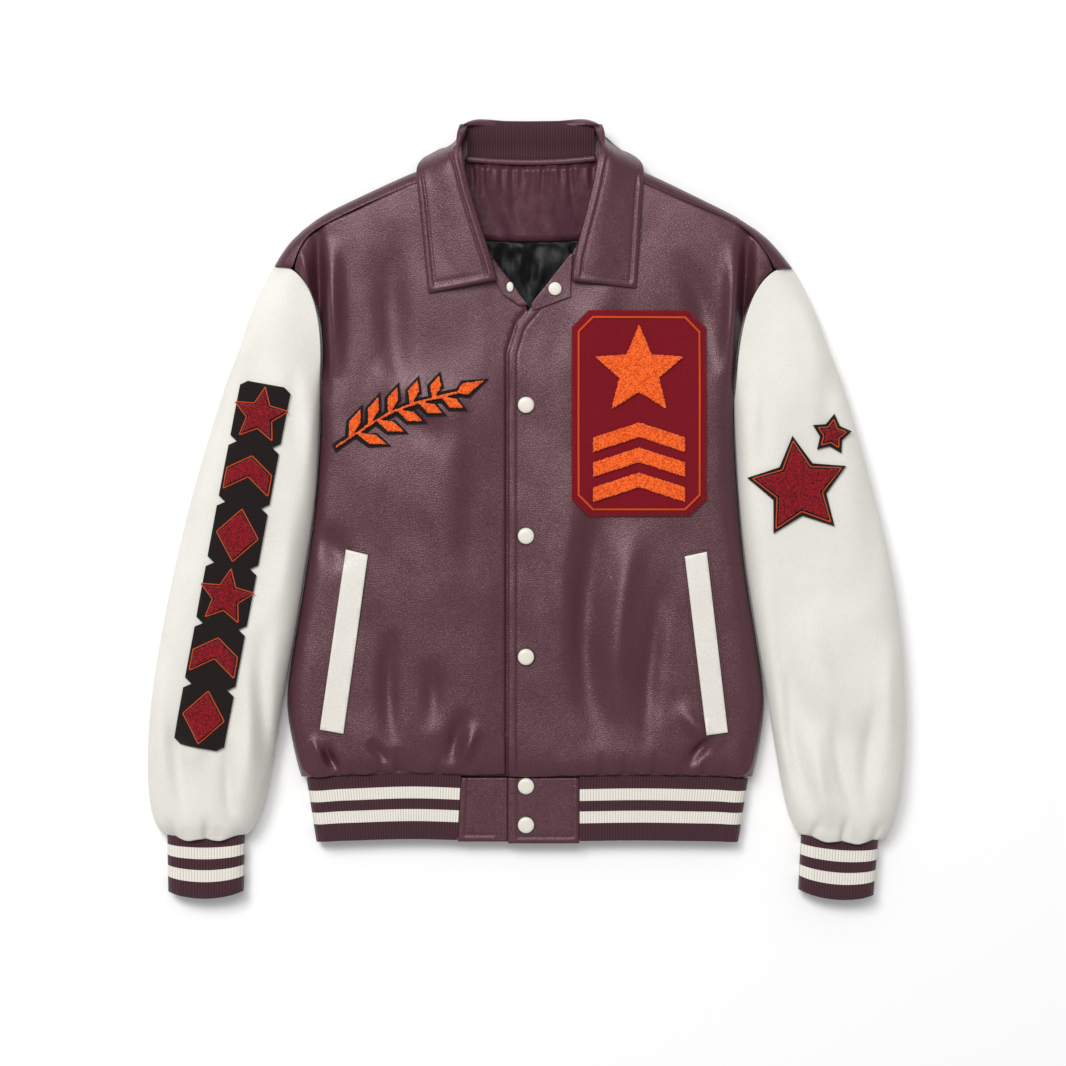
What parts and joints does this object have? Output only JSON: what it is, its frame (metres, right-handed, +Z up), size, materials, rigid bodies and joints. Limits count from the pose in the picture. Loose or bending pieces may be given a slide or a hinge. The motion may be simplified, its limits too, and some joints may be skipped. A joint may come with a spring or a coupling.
{
  "type": "varsity jacket",
  "caption": "Snap-front varsity jacket laid flat: leather body and collar, wool sleeves, striped knit hem and cuffs, chenille patches.",
  "frame": {"origin": "middle of the jacket's outline, on the surface it lies on", "axes": "+Z up off the surface, +Y from the hem to the collar, +X towards the wearer's left sleeve"},
  "size_m": [0.7626, 0.7859, 0.0537],
  "materials": {
    "leather": "plum grained leather with a soft satin sheen",
    "wool": "off-white brushed melton wool",
    "knit": "plum rib knit with cream stripes",
    "satin": "plum satin",
    "lining": "black satin",
    "welt": "cream smooth leather",
    "snap": "cream enamelled caps",
    "felt": "dark red wool felt",
    "dark_felt": "black wool felt",
    "chenille": "orange chenille loops",
    "red_chenille": "dark red chenille loops"
  },
  "bodies": {
    "root": {"front_right": "leather", "front_left": "leather", "yoke_right": "leather", "yoke_left": "leather", "back": "leather", "sleeve_right": "wool", "sleeve_left": "wool", "hem_rib": "knit", "hem_tab_right": "leather", "hem_tab_left": "leather", "cuff_right": "knit", "cuff_left": "knit", "collar": "leather", "collar_stand": "knit", "neck_facing": "satin", "neck_binding": "satin", "back_lining": "lining", "corner_right": "leather", "corner_left": "leather", "pocket_welt_right": "welt", "pocket_welt_left": "welt", "snap_1": "snap", "snap_2": "snap", "snap_3": "snap", "snap_4": "snap", "snap_5": "snap", "snap_neck_cap": "snap", "snap_neck_socket": "snap", "chest_plaque": "felt", "chest_plaque_line": "chenille", "chest_star": "chenille", "chest_chevron_1": "chenille", "chest_chevron_2": "chenille", "chest_chevron_3": "chenille", "sprig_felt": "dark_felt", "sprig_chenille": "chenille", "column_felt": "dark_felt", "column_motif_1": "red_chenille", "column_motif_2": "red_chenille", "column_motif_3": "red_chenille", "column_motif_4": "red_chenille", "column_motif_5": "red_chenille", "column_motif_6": "red_chenille", "star_felt_large": "dark_felt", "star_felt_small": "dark_felt", "star_chenille_large": "red_chenille", "star_chenille_small": "red_chenille"}
  },
  "joints": []
}
